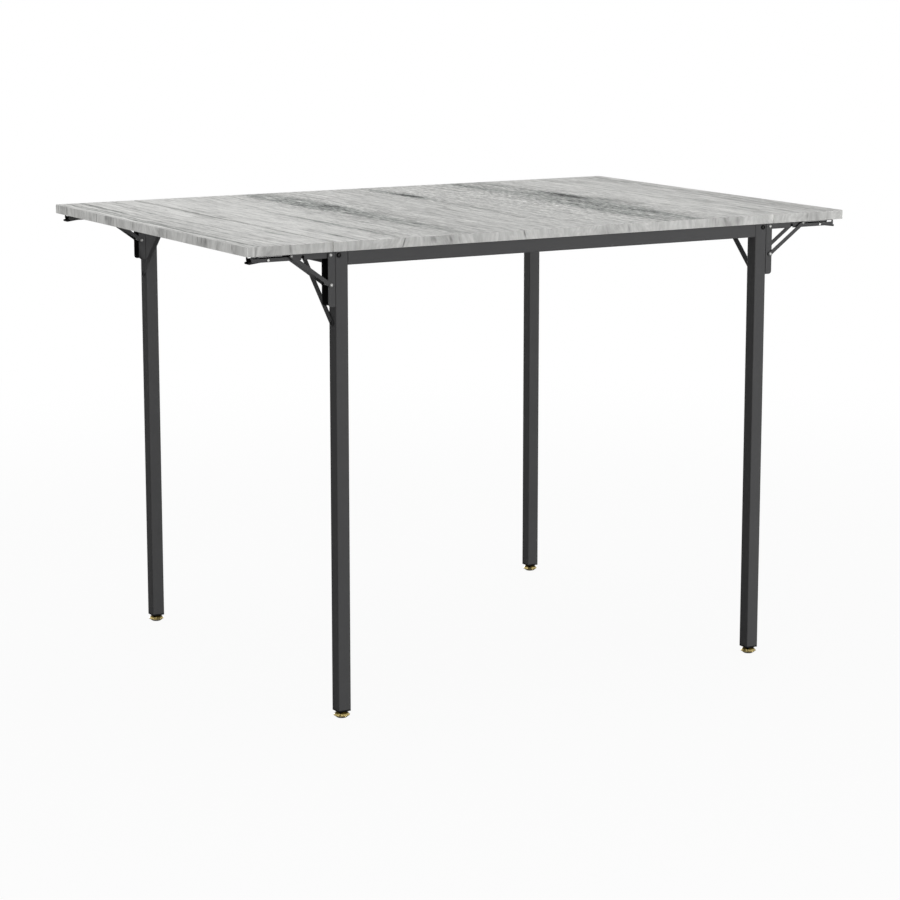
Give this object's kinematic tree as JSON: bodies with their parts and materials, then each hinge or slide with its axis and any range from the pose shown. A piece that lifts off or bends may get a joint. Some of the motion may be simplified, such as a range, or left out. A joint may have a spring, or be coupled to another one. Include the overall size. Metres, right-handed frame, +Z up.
{
  "type": "drop-leaf dining table",
  "caption": "Dining table with a grey wood-look top in three panels on a square-tube steel frame. The end leaves fold down on locking folding brackets.",
  "frame": {"origin": "on the floor under the middle of the top", "axes": "+X along the top towards the right leaf, -Y towards the front, +Z up out of the top"},
  "size_m": [1.11, 0.75, 0.75],
  "materials": {
    "laminate": "matt grey wood laminate",
    "powder_coat": "fine charcoal powder coat",
    "zinc": "bright zinc plate",
    "brass": "satin brass",
    "plug_plastic": "black plastic",
    "spring_steel": "bright drawn wire"
  },
  "bodies": {
    "frame": {"centre_panel": "laminate", "front_rail": "powder_coat", "back_rail": "powder_coat", "left_end_rail": "powder_coat", "right_end_rail": "powder_coat", "front_left_leg": "powder_coat", "front_left_leg_plug": "plug_plastic", "front_left_brace": "powder_coat", "front_left_wall_plate": "powder_coat", "front_left_arm_pin": "zinc", "front_left_stay_pin": "zinc", "front_right_leg": "powder_coat", "front_right_leg_plug": "plug_plastic", "front_right_brace": "powder_coat", "front_right_wall_plate": "powder_coat", "front_right_arm_pin": "zinc", "front_right_stay_pin": "zinc", "back_left_leg": "powder_coat", "back_left_leg_plug": "plug_plastic", "back_left_brace": "powder_coat", "back_left_wall_plate": "powder_coat", "back_left_arm_pin": "zinc", "back_left_stay_pin": "zinc", "back_right_leg": "powder_coat", "back_right_leg_plug": "plug_plastic", "back_right_brace": "powder_coat", "back_right_wall_plate": "powder_coat", "back_right_arm_pin": "zinc", "back_right_stay_pin": "zinc"},
    "left_leaf": {"left_leaf": "laminate", "front_left_arm": "powder_coat", "front_left_lever_pin": "zinc", "front_left_lever_spring": "spring_steel", "back_left_arm": "powder_coat", "back_left_lever_pin": "zinc", "back_left_lever_spring": "spring_steel"},
    "right_leaf": {"right_leaf": "laminate", "front_right_arm": "powder_coat", "front_right_lever_pin": "zinc", "front_right_lever_spring": "spring_steel", "back_right_arm": "powder_coat", "back_right_lever_pin": "zinc", "back_right_lever_spring": "spring_steel"},
    "front_left_stay": {"front_left_outer_stay_bar": "powder_coat", "front_left_inner_stay_bar": "powder_coat"},
    "front_left_lever": {"front_left_release_lever": "powder_coat"},
    "front_left_foot": {"front_left_levelling_foot": "brass"},
    "front_right_stay": {"front_right_outer_stay_bar": "powder_coat", "front_right_inner_stay_bar": "powder_coat"},
    "front_right_lever": {"front_right_release_lever": "powder_coat"},
    "front_right_foot": {"front_right_levelling_foot": "brass"},
    "back_left_stay": {"back_left_outer_stay_bar": "powder_coat", "back_left_inner_stay_bar": "powder_coat"},
    "back_left_lever": {"back_left_release_lever": "powder_coat"},
    "back_left_foot": {"back_left_levelling_foot": "brass"},
    "back_right_stay": {"back_right_outer_stay_bar": "powder_coat", "back_right_inner_stay_bar": "powder_coat"},
    "back_right_lever": {"back_right_release_lever": "powder_coat"},
    "back_right_foot": {"back_right_levelling_foot": "brass"}
  },
  "joints": [
    {"name": "left_leaf_fold", "type": "hinge", "parent": "frame", "child": "left_leaf", "pos_m": [-0.411, 0, 0.7293], "axis": [0, -1, 0], "range_deg": [0, 90]},
    {"name": "right_leaf_fold", "type": "hinge", "parent": "frame", "child": "right_leaf", "pos_m": [0.411, 0, 0.7293], "axis": [0, 1, 0], "range_deg": [0, 90]},
    {"name": "front_left_stay_turn", "type": "hinge", "parent": "frame", "child": "front_left_stay", "pos_m": [-0.411, -0.355, 0.6835], "axis": [0, -1, 0], "range_deg": [0, 124.1]},
    {"name": "front_left_lever_press", "type": "hinge", "parent": "left_leaf", "child": "front_left_lever", "pos_m": [-0.515, -0.355, 0.7273], "axis": [0, 1, 0], "range_deg": [0, 6], "stiffness_Nm_per_rad": 0.12, "springref_deg": -25.78, "deforming": ["front_left_lever_spring"]},
    {"name": "front_left_foot_screw", "type": "slide", "parent": "frame", "child": "front_left_foot", "axis": [0, 0, 1], "range_m": [-0.01, 0]},
    {"name": "front_right_stay_turn", "type": "hinge", "parent": "frame", "child": "front_right_stay", "pos_m": [0.411, -0.355, 0.6835], "axis": [0, 1, 0], "range_deg": [0, 124.1]},
    {"name": "front_right_lever_press", "type": "hinge", "parent": "right_leaf", "child": "front_right_lever", "pos_m": [0.515, -0.355, 0.7273], "axis": [0, -1, 0], "range_deg": [0, 6], "stiffness_Nm_per_rad": 0.12, "springref_deg": -25.78, "deforming": ["front_right_lever_spring"]},
    {"name": "front_right_foot_screw", "type": "slide", "parent": "frame", "child": "front_right_foot", "axis": [0, 0, 1], "range_m": [-0.01, 0]},
    {"name": "back_left_stay_turn", "type": "hinge", "parent": "frame", "child": "back_left_stay", "pos_m": [-0.411, 0.355, 0.6835], "axis": [0, -1, 0], "range_deg": [0, 124.1]},
    {"name": "back_left_lever_press", "type": "hinge", "parent": "left_leaf", "child": "back_left_lever", "pos_m": [-0.515, 0.355, 0.7273], "axis": [0, 1, 0], "range_deg": [0, 6], "stiffness_Nm_per_rad": 0.12, "springref_deg": -25.78, "deforming": ["back_left_lever_spring"]},
    {"name": "back_left_foot_screw", "type": "slide", "parent": "frame", "child": "back_left_foot", "axis": [0, 0, 1], "range_m": [-0.01, 0]},
    {"name": "back_right_stay_turn", "type": "hinge", "parent": "frame", "child": "back_right_stay", "pos_m": [0.411, 0.355, 0.6835], "axis": [0, 1, 0], "range_deg": [0, 124.1]},
    {"name": "back_right_lever_press", "type": "hinge", "parent": "right_leaf", "child": "back_right_lever", "pos_m": [0.515, 0.355, 0.7273], "axis": [0, -1, 0], "range_deg": [0, 6], "stiffness_Nm_per_rad": 0.12, "springref_deg": -25.78, "deforming": ["back_right_lever_spring"]},
    {"name": "back_right_foot_screw", "type": "slide", "parent": "frame", "child": "back_right_foot", "axis": [0, 0, 1], "range_m": [-0.01, 0]}
  ],
  "couplings": [
    {"joint": "front_left_stay_turn", "follows": "left_leaf_fold", "ratio": 1.3786},
    {"joint": "front_right_stay_turn", "follows": "right_leaf_fold", "ratio": 1.3786},
    {"joint": "back_left_stay_turn", "follows": "left_leaf_fold", "ratio": 1.3786},
    {"joint": "back_right_stay_turn", "follows": "right_leaf_fold", "ratio": 1.3786}
  ]
}
